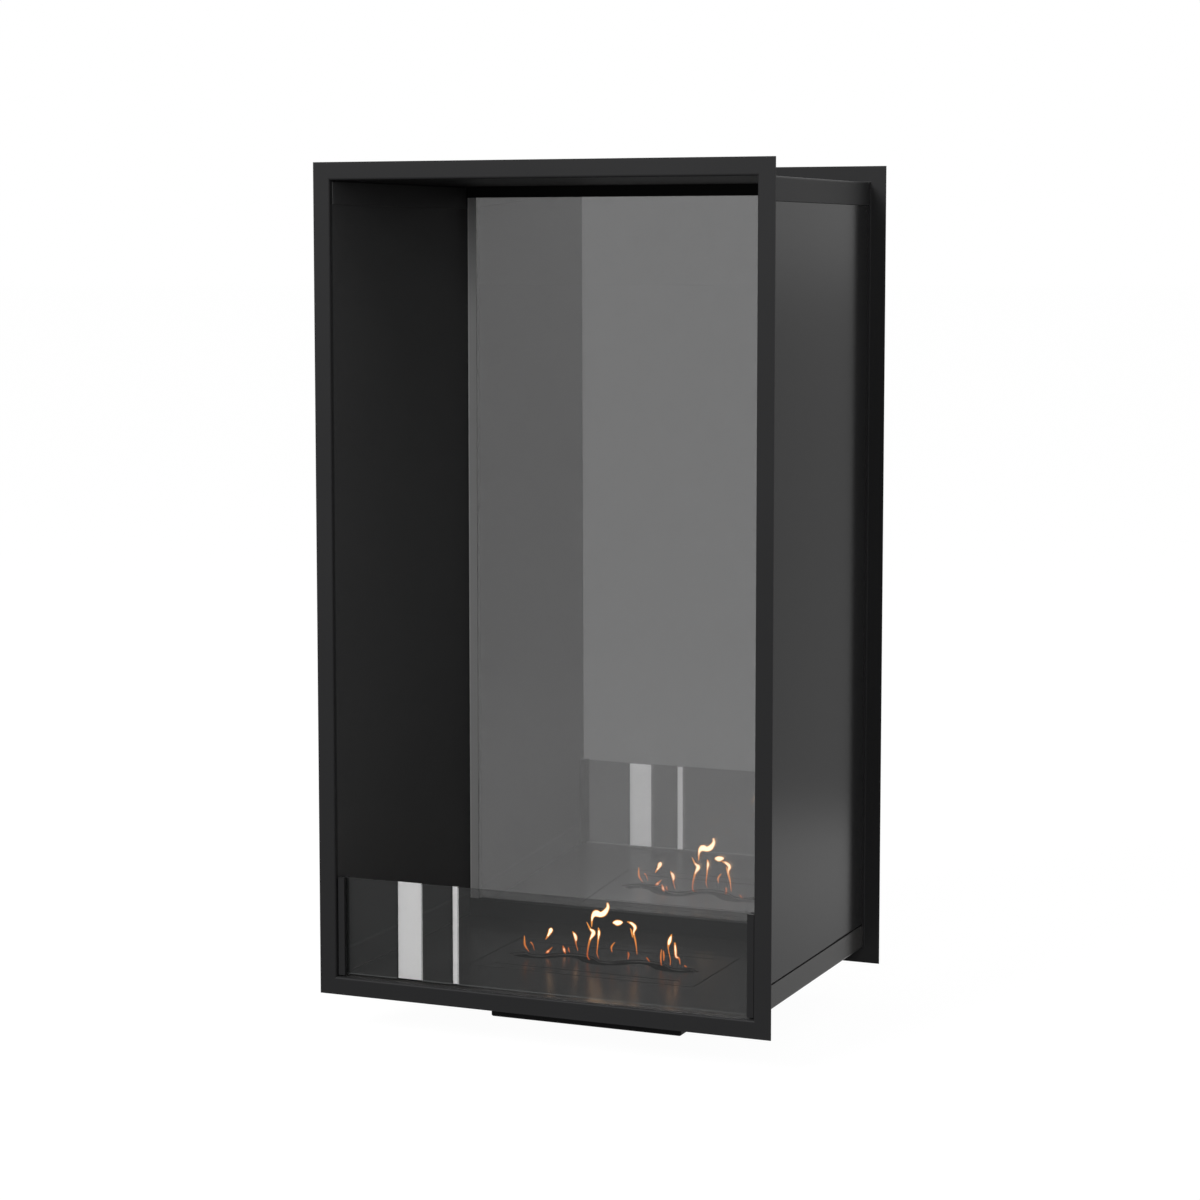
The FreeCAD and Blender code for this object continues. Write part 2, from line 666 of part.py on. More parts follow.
# Burner plate with its weld studs, the wavy slot and two drain slits
stud_spots = [("%ssizes.stud_line" % side, y) for side in ("-", "") for y in spread("stud_pitch", 2)]
studs = [cylinder("stud_%d" % i, "stud_diameter", x, y, "sizes.stud_low", "sizes.box_low")
         for i, (x, y) in enumerate(stud_spots)]
plate_sheet = box("plate_sheet", "-plate_half", "plate_half", "-plate_back", "plate_back",
                  "box_low", "floor_level")
slot_cutter = doc.addObject("Part::Feature", "slot_cutter")
slot_cutter.Shape = wave_prism(number("rim_low"), number("panel_low"))
slits = [box("slit_front", "-slit_half", "slit_half", "-slit_far", "-slit_near", "ledge_low", "panel_low"),
         box("slit_rear", "-slit_half", "slit_half", "slit_near", "slit_far", "ledge_low", "panel_low")]
burner_plate = cut("burner_plate", fuse("plate_with_studs", [plate_sheet] + studs), [slot_cutter] + slits)

# Tank: folded bowl with an outward rim
tank_body = doc.addObject("PartDesign::Body", "tank_bowl")
tank_outline = new_sketch(tank_body, "tank_outline", "XY_Plane")
rectangle(tank_outline, "-tank_half", "tank_half", "-tank_back", "tank_back")
tank_block = pad(tank_body, "tank_block", tank_outline, "sizes.rim_high")
tank_round = fillet(tank_body, "tank_folds", tank_block, "sizes.bend_radius", lambda p, e: (
    p.z < number("rim_high") - 1))
rim_outline = new_sketch(tank_body, "rim_outline", "XY_Plane", "sizes.rim_low")
rectangle(rim_outline, "-rim_half", "rim_half", "-rim_back", "rim_back")
pad(tank_body, "tank_rim", rim_outline, "sizes.gauge")
bowl_outline = new_sketch(tank_body, "bowl_outline", "XY_Plane", "sizes.gauge")
rectangle(bowl_outline, "-bowl_half", "bowl_half", "-bowl_back", "bowl_back")
bowl_cut = pocket(tank_body, "tank_hollow", bowl_outline, True)
fold_inside = "sizes.bend_radius - sizes.gauge"
tank_body.Tip = fillet(tank_body, "tank_folds_inside", bowl_cut, fold_inside, lambda p, e: (
    (near(p.z, number("gauge")) and abs(p.x) < number("tank_half") and abs(p.y) < number("tank_back"))
    or (near(abs(p.x), number("bowl_half")) and near(abs(p.y), number("bowl_back")))))
stud_holes = [
    cylinder("stud_hole_%d" % i, "stud_diameter", x, y, "sizes.nut_low - 1", "sizes.box_low",
             "hole_clearance")
    for i, (x, y) in enumerate(stud_spots)]
stud_drill = group("stud_drill", stud_holes)
burner_tank = cut("burner_tank", tank_body, [stud_drill])

# Guides with end stops between rim and plate
guide_body = doc.addObject("PartDesign::Body", "guide_strip")
guide_outline = new_sketch(guide_body, "guide_outline", "XY_Plane", "sizes.rim_high")
polygon(guide_outline, [
    ("rim_half", "stop_front_end"), ("rim_half", "stop_rear_end"), ("stop_half", "stop_rear_end"),
    ("stop_half", "stop_rear"), ("guide_half", "stop_rear"), ("guide_half", "stop_front"),
    ("stop_half", "stop_front"), ("stop_half", "stop_front_end")])
guide_body.Tip = pad(guide_body, "guide_pad", guide_outline, "sizes.shutter_space")
guide_right = cut("guide_right", guide_body, [stud_drill])
shutter_guides = group("shutter_guides", [guide_right, mirror("guide_left", guide_right)])

nuts = []
for i, (x, y) in enumerate(stud_spots):
    nut = hexagon("nut_%d" % i, "nut_across", x, y, "sizes.nut_low", "nut_height")
    nuts.append(cut("nut_drilled_%d" % i, nut, [stud_holes[i]]))
rim_nuts = group("rim_nuts", nuts)

# Shutter: its slot lies under the plate's slot when open
shutter_sheet = box("shutter_sheet", "-shutter_half", "shutter_half", "-shutter_front", "shutter_back",
                    "rim_high", "shutter_high")
tool_hole = cylinder("tool_hole_cutter", "tool_hole", "0", "sizes.tool_hole_line",
                     "sizes.rim_low", "sizes.box_low")
burner_shutter = cut("burner_shutter", shutter_sheet, [slot_cutter, tool_hole])

# Wick and the perforated sheet over it
wick_body = doc.addObject("PartDesign::Body", "wick_pad")
wick_outline = new_sketch(wick_body, "wick_outline", "XY_Plane", "sizes.gauge")
rectangle(wick_outline, "-wick_half", "wick_half", "-wick_back", "wick_back")
wick_block = pad(wick_body, "wick_block", wick_outline, "sizes.wick_height")
wick_body.Tip = fillet(wick_body, "wick_edges", wick_block, "sizes.wick_edge_radius", lambda p, e: (
    abs(e.tangentAt(e.FirstParameter).z) > 0.9))
grid_sheet = box("grid_sheet", "-wick_half", "wick_half", "-wick_back", "wick_back",
                 "wick_high", "grid_high")
grid_holes = []
for i, x in enumerate(spread("grid_step_x", 9)):
    for j, y in enumerate(spread("grid_step_y", 4)):
        hole = box("grid_hole_%d_%d" % (i, j), "grid_hole", "grid_hole", "grid_hole", "grid_hole",
                   "rim_low", "rim_high")
        for side in ("Length", "Width", "Height"):
            hole.setExpression(side, "sizes.grid_hole")
        hole.setExpression("Placement.Base.x", "%s - sizes.grid_hole / 2" % x)
        hole.setExpression("Placement.Base.y", "%s - sizes.grid_hole / 2" % y)
        hole.setExpression("Placement.Base.z", "sizes.wick_high - sizes.grid_hole / 2")
        grid_holes.append(hole)
wick_grid = cut("wick_grid", grid_sheet, [group("grid_holes", grid_holes)])

NODES = [
    front_frame, rear_frame, rear_frame_screws, floor_pan, top_pan, side_panel_left, side_panel_right,
    glass_holder_left, glass_holder_right, holder_screws, glass_rest_pads, rear_glass,
    rear_glass_top_rail, rear_glass_bottom_rail, top_rail_seals, bottom_rail_seals, setting_blocks,
    top_rail_screws, bottom_rail_screws, burner_ledge, burner_plate, shutter_guides, burner_tank,
    rim_nuts, wick_body, wick_grid, burner_shutter, front_glass, glass_band_wide, glass_band_narrow,
]
doc.recompute()
for thing in doc.Objects:
    if "Invalid" in thing.State or "Error" in thing.State:
        raise RuntimeError("object %s did not compute: %s" % (thing.Name, thing.State))
for node in NODES:
    if node.Shape.isNull() or not node.Shape.isValid():
        raise RuntimeError("shape of %s is not valid" % node.Label)
    if not node.Shape.Solids:
        raise RuntimeError("%s holds no solid" % node.Label)

os.makedirs("parts", exist_ok=True)
for node in NODES:
    node.Shape.exportStep("parts/%s.step" % node.Label)
    reach = node.Shape.BoundBox
    print("%-24s %2d solids  X %8.2f %8.2f  Y %8.2f %8.2f  Z %8.2f %8.2f" % (
        node.Label, len(node.Shape.Solids), reach.XMin, reach.XMax, reach.YMin, reach.YMax,
        reach.ZMin, reach.ZMax))
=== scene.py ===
import math

import bmesh
import bpy
from bpy.props import FloatProperty, FloatVectorProperty, PointerProperty
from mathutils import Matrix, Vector, noise


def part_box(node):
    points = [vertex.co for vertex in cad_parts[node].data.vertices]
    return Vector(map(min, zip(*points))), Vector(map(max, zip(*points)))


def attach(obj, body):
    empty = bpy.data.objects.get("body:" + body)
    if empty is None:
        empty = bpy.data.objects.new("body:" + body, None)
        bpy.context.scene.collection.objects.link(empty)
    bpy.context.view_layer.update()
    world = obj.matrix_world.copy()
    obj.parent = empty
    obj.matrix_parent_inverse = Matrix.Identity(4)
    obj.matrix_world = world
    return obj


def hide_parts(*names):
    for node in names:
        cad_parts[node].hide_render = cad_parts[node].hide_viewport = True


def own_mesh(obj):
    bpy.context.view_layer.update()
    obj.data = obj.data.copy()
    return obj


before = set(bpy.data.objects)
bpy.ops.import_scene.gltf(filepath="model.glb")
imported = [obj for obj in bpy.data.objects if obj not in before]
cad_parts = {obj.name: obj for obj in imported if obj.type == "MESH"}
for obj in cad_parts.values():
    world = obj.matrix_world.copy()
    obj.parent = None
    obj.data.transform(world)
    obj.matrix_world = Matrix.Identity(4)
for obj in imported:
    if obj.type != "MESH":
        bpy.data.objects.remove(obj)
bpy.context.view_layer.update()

bl_info = {
    "name": "Double-sided fireplace",
    "version": (1, 0, 0),
    "blender": (4, 5, 0),
    "location": "View3D > Sidebar > Fireplace",
    "description": "Dresses a built-in see-through fireplace with its coats, glass, wick and flames",
    "category": "Object",
}

# Tongues of flame over the slot: depth of the tongue in millimetres, then the points of its
# middle line from tip to foot as (across, height, half width).
TONGUES = (
    (-13, ((-115, 101, 0.8), (-115, 94, 1.5), (-114, 87, 1.7), (-108, 79, 0.6))),
    (-13, ((-106, 93, 1.1), (-103, 90, 1.1), (-100, 82, 0.6))),
    (-7, ((-77, 114, 1.1), (-78, 111, 3.8), (-81, 105, 2.7), (-86, 97, 0.8))),
    (-7, ((-76, 87, 0.8), (-80, 83, 1.5), (-83, 80, 2.5), (-86, 78, 0.8))),
    (11, ((-68, 86, 0.9), (-66, 80, 2.7), (-64, 75, 0.8))),
    (12, ((-60, 84, 0.8), (-60, 81, 1.5), (-58, 77, 0.6))),
    (12, ((-54, 107, 0.9), (-51, 103, 2.7), (-49, 98, 3.0), (-49, 91, 1.3), (-46, 81, 0.8))),
    (-8, ((6, 156, 1.9), (7, 150, 3.0), (2, 142, 4.5), (-4, 139, 4.5), (-11, 140, 5.3),
          (-16, 134, 2.7), (-17, 121, 0.9))),
    (-4, ((-26, 126, 0.8), (-21, 117, 1.9), (-16, 112, 3.8), (-21, 102, 1.9), (-24, 90, 1.5),
          (-25, 79, 1.5), (-22, 74, 1.1))),
    (-13, ((-5, 122, 0.9), (-4, 115, 2.7), (-5, 107, 1.9), (-6, 98, 1.3), (-7, 86, 1.1), (-4, 79, 0.6))),
    (-1, ((11, 127, 1.1), (14, 128, 3.4), (18, 128, 4.7), (23, 129, 3.4), (26, 129, 1.1))),
    (11, ((27, 128, 0.8), (34, 126, 2.7), (39, 121, 3.2), (37, 113, 1.9), (40, 100, 1.5), (42, 84, 0.8))),
    (9, ((33, 120, 0.9), (35, 114, 1.5), (36, 107, 0.8))),
    (-10, ((18, 103, 0.8), (13, 96, 1.5), (14, 89, 0.8))),
    (5, ((31, 88, 0.8), (32, 84, 1.7), (31, 77, 0.8))),
    (12, ((55, 81, 0.8), (57, 79, 1.3), (60, 75, 0.8))),
    (-5, ((84, 98, 0.9), (83, 87, 1.5), (84, 76, 1.1))),
    (-9, ((88, 98, 0.8), (89, 92, 1.7), (89, 84, 0.9))),
    (-13, ((102, 122, 1.1), (99, 113, 3.4), (97, 103, 1.3), (100, 88, 1.1), (100, 80, 1.1))),
    (-12, ((106, 111, 1.5), (107, 102, 2.5), (108, 92, 2.3), (112, 90, 1.7), (114, 82, 0.9))),
    (-8, ((118, 80, 0.9), (120, 79, 1.3), (122, 78, 0.8))),
)
MM = 0.001
LINE_STEPS = 5
FLAME_SIDES = 12
CORE_LEAST = 0.25 * MM
VEIL_LEAST = 0.1 * MM

COATED = (
    "front_frame", "rear_frame", "top_pan", "glass_holder_left", "glass_holder_right",
    "rear_glass_top_rail", "rear_glass_bottom_rail",
)
BRUSHED = ("burner_shutter", "shutter_guides", "wick_grid")
BLACKENED = ("rear_frame_screws", "top_rail_screws", "bottom_rail_screws", "holder_screws")
SEALS = ("top_rail_seals", "bottom_rail_seals", "setting_blocks", "glass_rest_pads")

# Finishes of the sprayed coats
SATIN = {"rough": 0.44, "specular": 0.07}
GLOSSY = {"rough": 0.22, "specular": 0.09}
# Matt, nearly glossless finish of the ledge, whose very dark coat is painted shade in the groove under the
# burner plate
PAINTED_SHADE_MATT = {"rough": 0.70, "specular": 0.02}

# Soft lamps of the studio: place and width in metres, power in watts
LAMPS = {
    "key_softbox": ((-1.7, -4.4, 3.8), 2.6, 370.0),
    "fill_softbox": ((1.7, -5.0, 2.2), 2.0, 80.0),
    "side_softbox": ((4.6, -0.6, 2.6), 2.4, 25.0),
}
LAMP_AIM = (0.0, 0.0, 0.6)


class FireplaceSizes(bpy.types.PropertyGroup):
    """Camera, stage, tall glass, wick and flame sizes"""
    lens: FloatProperty(
        name="Lens", description="Focal length of the camera", default=90.0, unit="CAMERA")
    yaw: FloatProperty(
        name="Yaw", description="Turn of the camera about the vertical", default=0.3997, subtype="ANGLE")
    pitch: FloatProperty(
        name="Pitch", description="Downward tilt of the camera", default=0.0990, subtype="ANGLE")
    shift: FloatProperty(
        name="Shift", description="Vertical shift of the camera", default=-0.04)
    place: FloatVectorProperty(
        name="Camera", description="Position of the camera", size=3, default=(1.55364, -3.69686, 1.03131),
        subtype="XYZ")
    floor_reach: FloatProperty(
        name="Floor reach", description="Half width of the studio floor", default=150.0, unit="LENGTH")
    card_start: FloatProperty(
        name="Card start", description="Distance from the middle to the near edge of the grey floor card",
        default=0.235, unit="LENGTH")
    card_distance: FloatProperty(
        name="Card distance", description="Distance from the middle to the upright grey card",
        default=8.0, unit="LENGTH")
    card_reach: FloatProperty(
        name="Card reach", description="Half width and height of the grey card", default=9.0, unit="LENGTH")
    card_glow: FloatProperty(
        name="Card glow", description="Brightness of the grey card", default=0.2)
    border_width: FloatProperty(
        name="Border width", description="Width of the grey border along the left side of the tall glass",
        default=0.0130, unit="LENGTH")
    border_rim: FloatProperty(
        name="Border rim", description="Width of the paler outer rim of that border",
        default=0.0020, unit="LENGTH")
    film_lean: FloatProperty(
        name="Film lean", description="Slope of the mirroring film of the tall glass", default=0.038)
    wick_tuck: FloatProperty(
        name="Wick tuck", description="How far the wick's faces lie inside its solid",
        default=0.0010, unit="LENGTH")
    wick_fluff: FloatProperty(
        name="Wick fluff", description="How much the wick's faces rise and fall",
        default=0.0014, unit="LENGTH")
    flame_flatness: FloatProperty(
        name="Flame flatness", description="Depth of a tongue of flame as a share of its width",
        default=0.7)
    veil_shrink: FloatProperty(
        name="Veil shrink", description="How far the outer flame lies inside the drawn tongue",
        default=0.0004, unit="LENGTH")
    core_shrink: FloatProperty(
        name="Core shrink", description="How far the bright flame core lies inside the drawn tongue",
        default=0.0015, unit="LENGTH")


class FireplaceColours(bpy.types.PropertyGroup):
    """Colours of the coats, the steel, the bands and the flames"""
    coat: FloatVectorProperty(
        name="Coat", description="Powder coat of the box", size=3, default=(0.0165, 0.0165, 0.017),
        subtype="COLOR", min=0, max=1)
    side_coat: FloatVectorProperty(
        name="Side coat", description="Powder coat on the outer side of the side sheets", size=3,
        default=(0.014, 0.014, 0.0143), subtype="COLOR", min=0, max=1)
    heat_paint: FloatVectorProperty(
        name="Heat paint", description="Matt paint on the fire side of the side sheets", size=3,
        default=(0.040, 0.040, 0.0405), subtype="COLOR", min=0, max=1)
    floor_coat: FloatVectorProperty(
        name="Floor coat", description="Glossier coat of the floor and burner plate", size=3,
        default=(0.028, 0.0273, 0.0266), subtype="COLOR", min=0, max=1)
    # Painted shade: the ledge is made nearly black to stand for the shade in the groove under the burner
    # plate
    ledge_painted_shade: FloatVectorProperty(
        name="Ledge shade", description="Dark coat of the ledge under the burner plate, painted shade in its groove", size=3,
        default=(0.004, 0.004, 0.004), subtype="COLOR", min=0, max=1)
    steel: FloatVectorProperty(
        name="Steel", description="Brushed stainless steel", size=3, default=(0.42, 0.42, 0.41),
        subtype="COLOR", min=0, max=1)
    band: FloatVectorProperty(
        name="Band", description="Plain bands on the low glass", size=3, default=(0.93, 0.93, 0.93),
        subtype="COLOR", min=0, max=1)
    core: FloatVectorProperty(
        name="Flame core", description="Bright middle of the flame", size=3, default=(1.0, 0.92, 0.68),
        subtype="COLOR", min=0, max=1)
    core_foot: FloatVectorProperty(
        name="Core foot", description="Foot of the bright middle", size=3, default=(0.33, 0.078, 0.008),
        subtype="COLOR", min=0, max=1)
    veil: FloatVectorProperty(
        name="Flame veil", description="Orange edge of the flame", size=3, default=(1.0, 0.36, 0.06),
        subtype="COLOR", min=0, max=1)
    veil_foot: FloatVectorProperty(
        name="Veil foot", description="Foot of the orange edge", size=3, default=(0.70, 0.12, 0.015),
        subtype="COLOR", min=0, max=1)


class Sock:
    """A node socket that takes part in arithmetic; each step adds one node to the tree."""

    def __init__(self, tree, socket):
        self.tree = tree
        self.socket = socket

    def node(self, kind, inputs=(), output=0, **settings):
        """Adds any node, sets its properties, feeds its inputs by name or place."""
        made = self.tree.nodes.new(kind)
        for key, value in settings.items():
            setattr(made, key, value)
        for key, value in dict(inputs).items():
            if isinstance(value, Sock):
                self.tree.links.new(value.socket, made.inputs[key])
            else:
                made.inputs[key].default_value = value
        return Sock(self.tree, made.outputs[output])

    def math(self, operation, *values, clamp=False):
        return self.node("ShaderNodeMath", enumerate(values), operation=operation, use_clamp=clamp)

    def __add__(self, other):
        return self.math("ADD", self, other)

    __radd__ = __add__

    def __sub__(self, other):
        return self.math("SUBTRACT", self, other)

    def __rsub__(self, other):
        return self.math("SUBTRACT", other, self)

    def __mul__(self, other):
        return self.math("MULTIPLY", self, other)

    __rmul__ = __mul__

    def above(self, limit):
        return self.math("GREATER_THAN", self, limit)

    def below(self, limit):
        return self.math("LESS_THAN", self, limit)

    def mix(self, low, high):
        """Colour between two colours by this factor."""
        made = self.tree.nodes.new("ShaderNodeMix")
        made.data_type = "RGBA"
        self.tree.links.new(self.socket, made.inputs[0])
        for place, value in ((6, low), (7, high)):
            if isinstance(value, Sock):
                self.tree.links.new(value.socket, made.inputs[place])
            else:
                made.inputs[place].default_value = (*value, 1.0)
        return Sock(self.tree, made.outputs[2])


class Coat:
    """A material with a Principled shader, object coordinates and the Sock arithmetic."""

    def __init__(self, name):
        self.material = bpy.data.materials.new(name)
        self.material.use_nodes = True
        self.tree = self.material.node_tree
        self.shader = self.tree.nodes["Principled BSDF"]
        start = self.tree.nodes.new("ShaderNodeTexCoord")
        self.place = Sock(self.tree, start.outputs["Object"])

    def axis(self, name):
        return self.place.node("ShaderNodeSeparateXYZ", {0: self.place}, "XYZ".index(name))

    def noise(self, scale, detail, stretch=None):
        where = self.place
        if stretch:
            where = self.place.node("ShaderNodeMapping", {"Vector": self.place, "Scale": stretch})
        return self.place.node(
            "ShaderNodeTexNoise", {"Vector": where, "Scale": scale, "Detail": detail})

    def cells(self, scale):
        return self.place.node("ShaderNodeTexVoronoi", {"Vector": self.place, "Scale": scale})

    def feed(self, **inputs):
        """Feeds the Principled shader; names use underscores for spaces."""
        for key, value in inputs.items():
            socket = self.shader.inputs[key.replace("_", " ")]
            if isinstance(value, Sock):
                self.tree.links.new(value.socket, socket)
            else:
                socket.default_value = value

    def bump(self, height, strength, distance):
        raised = height.node(
            "ShaderNodeBump", {"Height": height, "Strength": strength, "Distance": distance})
        self.feed(Normal=raised)


def shade(colour, factor):
    return tuple(channel * factor for channel in colour)


def sprayed(coat):
    """Fine orange peel, which also raises the surface, and the slow drift of a sprayed coat."""
    peel = coat.noise(900.0, 2.0)
    drift = coat.noise(3.0, 4.0)
    coat.bump(peel, 0.10, 0.0003)
    return peel, drift


def drifted(factor, colour):
    """The colour, a little darker or paler from place to place."""
    return factor.mix(shade(colour, 0.86), shade(colour, 1.18))


def powder_coat(name, colour, rough, specular):
    """Sprayed powder: fine orange peel, slight changes of gloss and a little pale dust."""
    coat = Coat(name)
    peel, drift = sprayed(coat)
    specks = coat.noise(2200.0, 1.0).above(0.72)
    coat.feed(Base_Color=drifted(drift * 0.8 + specks * 0.2, colour), Specular_IOR_Level=specular,
              Roughness=rough + (drift - 0.5) * 0.10 + (peel - 0.5) * 0.05)
    return coat.material


def side_sheet(name, inside, outside, middle):
    """Sheet with matt heat paint on its fire side and a glossier powder coat on its outer side."""
    coat = Coat(name)
    across = coat.axis("X")
    within = across.math("ABSOLUTE", across).below(middle)
    peel, drift = sprayed(coat)
    rough = 0.17 + within * 0.30
    coat.feed(Base_Color=within.mix(drifted(drift, outside), drifted(drift, inside)),
              Roughness=rough + (drift - 0.5) * 0.06 + (peel - 0.5) * 0.05, Specular_IOR_Level=0.08)
    return coat.material


def brushed_steel(name, colour):
    coat = Coat(name)
    lines = coat.noise(60.0, 4.0, (1.0, 60.0, 60.0))
    stain = coat.noise(14.0, 4.0)
    tint = (lines * 0.6 + stain * 0.4).mix(shade(colour, 0.72), shade(colour, 1.12))
    coat.feed(Base_Color=tint, Roughness=0.28 + lines * 0.16 + stain * 0.08, Metallic=1.0)
    coat.bump(lines, 0.15, 0.0002)
    return coat.material


def dark_screw(name):
    coat = Coat(name)
    wear = coat.noise(700.0, 3.0)
    coat.feed(Base_Color=wear.mix((0.010, 0.010, 0.011), (0.045, 0.044, 0.043)),
              Roughness=0.36 + wear * 0.2, Metallic=0.6)
    coat.bump(wear, 0.1, 0.0002)
    return coat.material


def zinc(name):
    coat = Coat(name)
    spangle = coat.cells(500.0)
    coat.feed(Base_Color=spangle.mix((0.42, 0.42, 0.43), (0.62, 0.62, 0.62)),
              Roughness=0.25 + spangle * 0.2, Metallic=1.0)
    coat.bump(spangle, 0.08, 0.0001)
    return coat.material


def rubber(name):
    coat = Coat(name)
    grain = coat.noise(1600.0, 2.0)
    coat.feed(Base_Color=grain.mix((0.010, 0.010, 0.010), (0.024, 0.024, 0.024)),
              Roughness=0.7 + grain * 0.15)
    coat.bump(grain, 0.2, 0.0002)
    return coat.material


def wool(name):
    coat = Coat(name)
    fibre = coat.noise(420.0, 5.0, (1.0, 4.0, 1.0))
    scorch = coat.noise(30.0, 4.0)
    pale = fibre.mix((0.62, 0.59, 0.53), (0.86, 0.84, 0.79))
    coat.feed(Base_Color=scorch.mix(pale, (0.30, 0.26, 0.22)), Roughness=0.9 + fibre * 0.1)
    coat.bump(fibre, 0.6, 0.001)
    return coat.material


def pale_band(name, colour):
    """Translucent white film, lit through from both sides."""
    coat = Coat(name)
    grain = coat.noise(1500.0, 2.0)
    drift = coat.noise(12.0, 3.0)
    coat.feed(Base_Color=(grain * 0.5 + drift * 0.5).mix(shade(colour, 0.96), shade(colour, 1.04)),
              Roughness=0.55 + grain * 0.15)
    coat.feed(Subsurface_Weight=1.0, Subsurface_Radius=(1.0, 1.0, 1.0), Subsurface_Scale=0.004)
    coat.bump(grain, 0.05, 0.0001)
    return coat.material


def tall_glass(name, border_width, rim_width, lean):
    """Grey glass with a leaning metal film that mirrors, and a plain border on the front of one side."""
    coat = Coat(name)
    low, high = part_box("rear_glass")
    across = coat.axis("X")
    front = coat.axis("Y").below((low[1] + high[1]) / 2)
    border = across.below(low[0] + border_width) * front
    rim = across.below(low[0] + rim_width)
    smear = coat.noise(7.0, 4.0, (1.0, 1.0, 0.35))
    film = smear.mix((0.47, 0.47, 0.475), (0.50, 0.50, 0.505))
    print_grey = rim.mix((0.37, 0.37, 0.37), (0.47, 0.47, 0.47))
    coat.feed(Base_Color=border.mix(film, print_grey), Metallic=1.0 - border,
              Roughness=0.004 + smear * 0.010 + border * 0.5, Alpha=0.69 + smear * 0.01 + border * 0.3)
    coat.bump(coat.axis("Z") * lean, 1.0, 1.0)
    return coat.material


def low_glass(name):
    """Clear glass with a painted highlight along its lower edge and a dark upper one; clear over its bands.
    """
    coat = Coat(name)
    low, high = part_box("front_glass")
    height = coat.axis("Z")
    highlight_strip, dark_edge = 0.0006, 0.0003
    clear = 1.0
    for band in ("glass_band_wide", "glass_band_narrow"):
        left, right = (corner[0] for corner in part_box(band))
        across = coat.axis("X")
        clear = clear - across.above(left) * across.below(right)
    # Painted highlight: a paler, rougher, less clear strip along the lower edge stands for light caught
    # there
    bottom = height.below(low[2] + highlight_strip)
    top = height.above(high[2] - dark_edge)
    smear = coat.noise(9.0, 4.0)
    body = smear.mix((0.022, 0.023, 0.023), (0.034, 0.035, 0.035))
    coat.feed(Base_Color=bottom.mix(body, (0.07, 0.075, 0.074)),
              Roughness=0.01 + smear * 0.02 + bottom * 0.25,
              Alpha=((0.32 + smear * 0.02) + bottom * 0.3 + top * 0.6) * clear)
    coat.feed(IOR=2.0)
    return coat.material


def flame(name, low_colour, high_colour, strength, cover):
    """Glowing gas: redder and thinner at the foot, paler and fuller above."""
    coat = Coat(name)
    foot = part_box("burner_plate")[1][2]
    rise_per_metre, lick_share = 26.0, 1.1
    lick = coat.noise(160.0, 3.0, (1.0, 1.0, 0.4))
    rise = lick.math("MULTIPLY", coat.axis("Z") - foot, rise_per_metre, clamp=True)
    blend = lick.math("MULTIPLY", rise + (lick - 0.5) * lick_share, 1.0, clamp=True)
    coat.feed(Base_Color=(0, 0, 0, 1), Roughness=1.0, Emission_Color=blend.mix(low_colour, high_colour))
    coat.feed(Emission_Strength=strength, Specular_IOR_Level=0.0)
    coat.feed(Alpha=(0.55 + blend * 0.45) * cover)
    return coat.material


def dress(names, material):
    """Gives CAD nodes a material."""
    for name in names:
        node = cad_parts[name]
        if not node.material_slots:
            raise RuntimeError("node %s has no material slot" % name)
        for slot in node.material_slots:
            slot.material = material


def new_object(name, mesh, material=None):
    piece = bpy.data.objects.new(name, mesh)
    bpy.context.scene.collection.objects.link(piece)
    if material:
        mesh.materials.append(material)
    return piece


def smooth_line(points, steps):
    """Points along a smooth line through the given ones."""
    line = []
    for i in range(len(points) - 1):
        a = points[max(i - 1, 0)]
        b = points[i]
        c = points[i + 1]
        d = points[min(i + 2, len(points) - 1)]
        for k in range(steps):
            u = k / steps
            line.append(0.5 * (2 * b + (c - a) * u + (2 * a - 5 * b + 4 * c - d) * u * u
                               + (3 * b - a - 3 * c + d) * u * u * u))
    line.append(points[-1].copy())
    return line


def flame_lines():
    """Middle lines of all tongues as bare edges; each point keeps its half width and its depth."""
    verts, edges, halves, depths = [], [], [], []
    for depth, points in TONGUES:
        line = smooth_line([Vector(point) for point in points], LINE_STEPS)
        for end, inner, place in ((line[0], line[1], 0), (line[-1], line[-2], len(line) + 1)):
            tip = end + (end - inner).to_2d().normalized().to_3d() * end.z
            tip.z = 0.0
            line.insert(place, tip)
        for i, spot in enumerate(line):
            if i:
                edges.append((len(verts) - 1, len(verts)))
            verts.append((MM * spot.x, MM * depth, MM * spot.y))
            halves.append(MM * spot.z)
            depths.append(MM * depth)
    mesh = bpy.data.meshes.new("flame_lines")
    mesh.from_pydata(verts, edges, [])
    for name, values in (("half", halves), ("depth", depths)):
        mesh.attributes.new(name, "FLOAT", "POINT").data.foreach_set("value", values)
    return mesh


